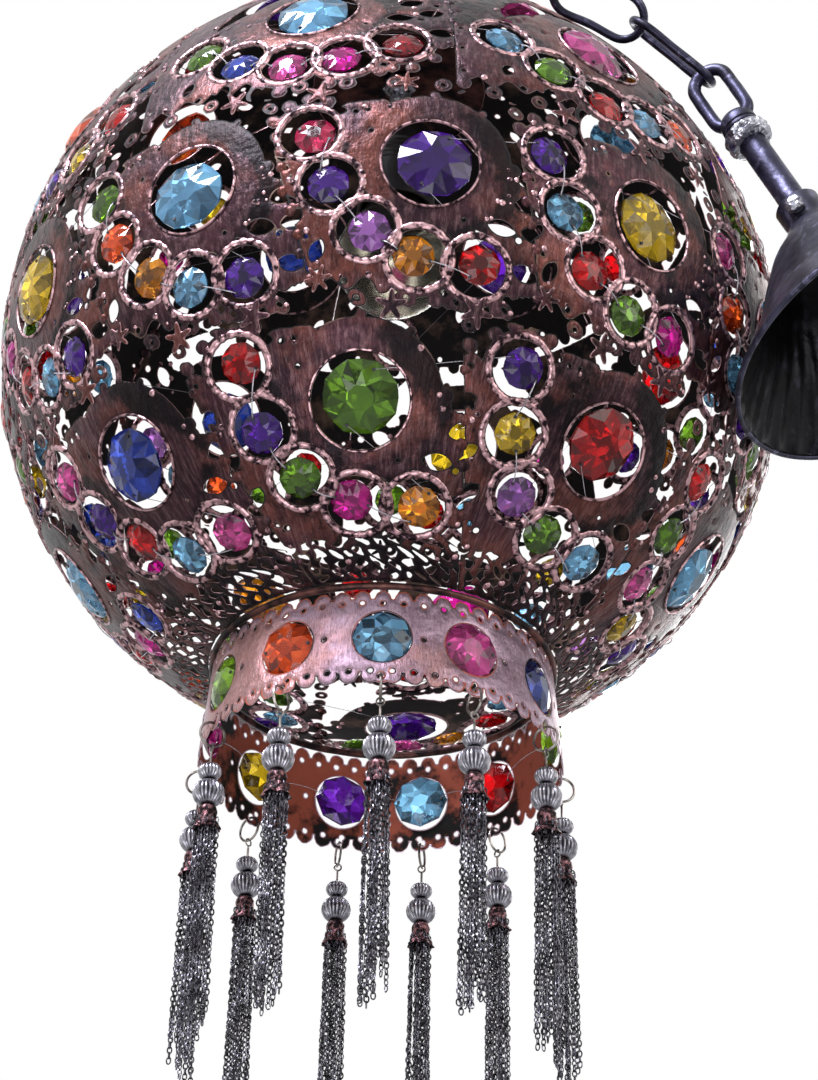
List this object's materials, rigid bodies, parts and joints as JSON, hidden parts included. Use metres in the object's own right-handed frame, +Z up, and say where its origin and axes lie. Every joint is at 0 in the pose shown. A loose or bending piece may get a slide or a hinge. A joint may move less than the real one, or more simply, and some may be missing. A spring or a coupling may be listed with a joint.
{
  "type": "beaded chandelier",
  "caption": "Globe chandelier of pierced copper panels strung with faceted gems, with a scalloped collar, chain tassels, a lamp inside, and its hanging chain and canopy over the shoulder.",
  "frame": {"origin": "where a hook bears, under the top of the crown loop, on the axis of the globe", "axes": "+Z up the axis of the globe, -Y to the side that the picture shows, +X to its right, where the canopy lies"},
  "size_m": [0.4862, 0.3812, 0.6276],
  "materials": {
    "aged_copper": "aged copper, brushed on the high edges and black in the recesses",
    "dark_copper": "dark aged copper",
    "warm_gems": "clear faceted acrylic in mixed colours",
    "cool_gems": "clear faceted acrylic in mixed colours",
    "tassel_metal": "antique silver beads and fine dark chains",
    "gunmetal": "satin blue-black",
    "zinc": "bright zinc plate",
    "holder_shell": "matt black moulded shell",
    "bulb_metal": "plain",
    "bulb_glass": "frosted"
  },
  "bodies": {
    "globe": {"globe_panel_lower_1": "aged_copper", "globe_panel_lower_2": "aged_copper", "globe_panel_lower_3": "aged_copper", "globe_panel_lower_4": "aged_copper", "globe_panel_lower_5": "aged_copper", "globe_panel_lower_6": "aged_copper", "globe_panel_lower_7": "aged_copper", "globe_panel_lower_8": "aged_copper", "globe_panel_middle_1": "aged_copper", "globe_panel_middle_2": "aged_copper", "globe_panel_middle_3": "aged_copper", "globe_panel_middle_4": "aged_copper", "globe_panel_middle_5": "aged_copper", "globe_panel_middle_6": "aged_copper", "globe_panel_middle_7": "aged_copper", "globe_panel_middle_8": "aged_copper", "globe_panel_middle_9": "aged_copper", "globe_panel_middle_10": "aged_copper", "globe_panel_middle_11": "aged_copper", "globe_panel_upper_1": "aged_copper", "globe_panel_upper_2": "aged_copper", "globe_panel_upper_3": "aged_copper", "globe_panel_upper_4": "aged_copper", "globe_crown_dome": "aged_copper", "gem_string_lower": "warm_gems", "gem_string_middle": "cool_gems", "gem_string_upper": "warm_gems", "gem_string_crown": "cool_gems", "gem_string_collar": "warm_gems", "seam_wire": "dark_copper", "collar_band": "aged_copper", "crown_cap": "dark_copper", "crown_nipple": "zinc", "lock_nut": "zinc", "crown_loop": "gunmetal", "lamp_holder": "holder_shell"},
    "bulb": {"bulb_cap": "bulb_metal", "bulb_glass": "bulb_glass"},
    "chain_link_1": {"chain_link_1": "gunmetal"},
    "chain_link_2": {"chain_link_2": "gunmetal"},
    "chain_link_3": {"chain_link_3": "gunmetal"},
    "chain_link_4": {"chain_link_4": "gunmetal"},
    "chain_link_5": {"chain_link_5": "gunmetal"},
    "chain_link_6": {"chain_link_6": "gunmetal"},
    "stem": {"stem_loop": "gunmetal", "stem_tube": "gunmetal", "lock_ring": "zinc"},
    "canopy": {"canopy_bell": "gunmetal"},
    "screw": {"set_screw": "zinc"},
    "tassel_1": {"tassel_1": "tassel_metal"},
    "tassel_2": {"tassel_2": "tassel_metal"},
    "tassel_3": {"tassel_3": "tassel_metal"},
    "tassel_4": {"tassel_4": "tassel_metal"},
    "tassel_5": {"tassel_5": "tassel_metal"},
    "tassel_6": {"tassel_6": "tassel_metal"},
    "tassel_7": {"tassel_7": "tassel_metal"},
    "tassel_8": {"tassel_8": "tassel_metal"},
    "tassel_9": {"tassel_9": "tassel_metal"},
    "tassel_10": {"tassel_10": "tassel_metal"},
    "tassel_11": {"tassel_11": "tassel_metal"}
  },
  "joints": [
    {"name": "bulb_turn", "type": "hinge", "parent": "globe", "child": "bulb", "pos_m": [0, 0, -0.1166], "axis": [0, 0, 1], "continuous": true},
    {"name": "chain_link_1_lift", "type": "hinge", "parent": "globe", "child": "chain_link_1", "pos_m": [0, 0, 0.003], "axis": [-1, 0, 0], "range_deg": [0, 117.8]},
    {"name": "chain_link_2_lift", "type": "hinge", "parent": "chain_link_1", "child": "chain_link_2", "pos_m": [0, -0.03894, -0.01749], "axis": [-0.3419, 0.4377, -0.8316], "range_deg": [0, 13.4]},
    {"name": "chain_link_3_lift", "type": "hinge", "parent": "chain_link_2", "child": "chain_link_3", "pos_m": [0.00959, -0.07519, -0.04052], "axis": [-0.2187, 0.4813, -0.8489], "range_deg": [0, 32.4]},
    {"name": "chain_link_4_lift", "type": "hinge", "parent": "chain_link_3", "child": "chain_link_4", "pos_m": [0.04009, -0.09876, -0.06174], "axis": [-0.3975, 0.2741, -0.8757], "range_deg": [0, 20.8]},
    {"name": "chain_link_5_lift", "type": "hinge", "parent": "chain_link_4", "child": "chain_link_5", "pos_m": [0.078, -0.10829, -0.08193], "axis": [-0.4703, -0.0014, -0.8825], "range_deg": [0, 18]},
    {"name": "chain_link_6_lift", "type": "hinge", "parent": "chain_link_5", "child": "chain_link_6", "pos_m": [0.11665, -0.1041, -0.10254], "axis": [-0.4428, -0.2066, -0.8725], "range_deg": [0, 16]},
    {"name": "stem_lift", "type": "hinge", "parent": "chain_link_6", "child": "stem", "pos_m": [0.15164, -0.0883, -0.12403], "axis": [0.5423, -0.7817, 0.308], "range_deg": [0, 43.3]},
    {"name": "canopy_turn", "type": "hinge", "parent": "stem", "child": "canopy", "pos_m": [0.19142, -0.09719, -0.21666], "axis": [0.3931, -0.0879, -0.9153], "continuous": true},
    {"name": "set_screw_turn", "type": "hinge", "parent": "canopy", "child": "screw", "pos_m": [0.19142, -0.09719, -0.21666], "axis": [-0.5003, -0.8556, -0.1327], "range_deg": [0, 720]},
    {"name": "tassel_1_swing", "type": "hinge", "parent": "globe", "child": "tassel_1", "pos_m": [0, -0.08166, -0.46378], "axis": [-1, 0, 0], "range_deg": [-15, 60]},
    {"name": "tassel_2_swing", "type": "hinge", "parent": "globe", "child": "tassel_2", "pos_m": [0.03959, -0.07142, -0.46378], "axis": [-0.8746, -0.4848, 0], "range_deg": [-15, 60]},
    {"name": "tassel_3_swing", "type": "hinge", "parent": "globe", "child": "tassel_3", "pos_m": [0.07142, -0.03959, -0.46378], "axis": [-0.4848, -0.8746, 0], "range_deg": [-15, 60]},
    {"name": "tassel_4_swing", "type": "hinge", "parent": "globe", "child": "tassel_4", "pos_m": [0.08121, 0.00854, -0.46378], "axis": [0.1045, -0.9945, 0], "range_deg": [-15, 60]},
    {"name": "tassel_5_swing", "type": "hinge", "parent": "globe", "child": "tassel_5", "pos_m": [0.05464, 0.06068, -0.46378], "axis": [0.7431, -0.6691, 0], "range_deg": [-15, 60]},
    {"name": "tassel_6_swing", "type": "hinge", "parent": "globe", "child": "tassel_6", "pos_m": [0.01976, 0.07923, -0.46378], "axis": [0.9703, -0.2419, 0], "range_deg": [-15, 60]},
    {"name": "tassel_7_swing", "type": "hinge", "parent": "globe", "child": "tassel_7", "pos_m": [-0.01976, 0.07923, -0.46378], "axis": [0.9703, 0.2419, 0], "range_deg": [-15, 60]},
    {"name": "tassel_8_swing", "type": "hinge", "parent": "globe", "child": "tassel_8", "pos_m": [-0.06068, 0.05464, -0.46378], "axis": [0.6691, 0.7431, 0], "range_deg": [-15, 60]},
    {"name": "tassel_9_swing", "type": "hinge", "parent": "globe", "child": "tassel_9", "pos_m": [-0.08121, 0.00854, -0.46378], "axis": [0.1045, 0.9945, 0], "range_deg": [-15, 60]},
    {"name": "tassel_10_swing", "type": "hinge", "parent": "globe", "child": "tassel_10", "pos_m": [-0.07276, -0.03707, -0.46378], "axis": [-0.454, 0.891, 0], "range_deg": [-15, 60]},
    {"name": "tassel_11_swing", "type": "hinge", "parent": "globe", "child": "tassel_11", "pos_m": [-0.04206, -0.06999, -0.46378], "axis": [-0.8572, 0.515, 0], "range_deg": [-15, 60]}
  ]
}
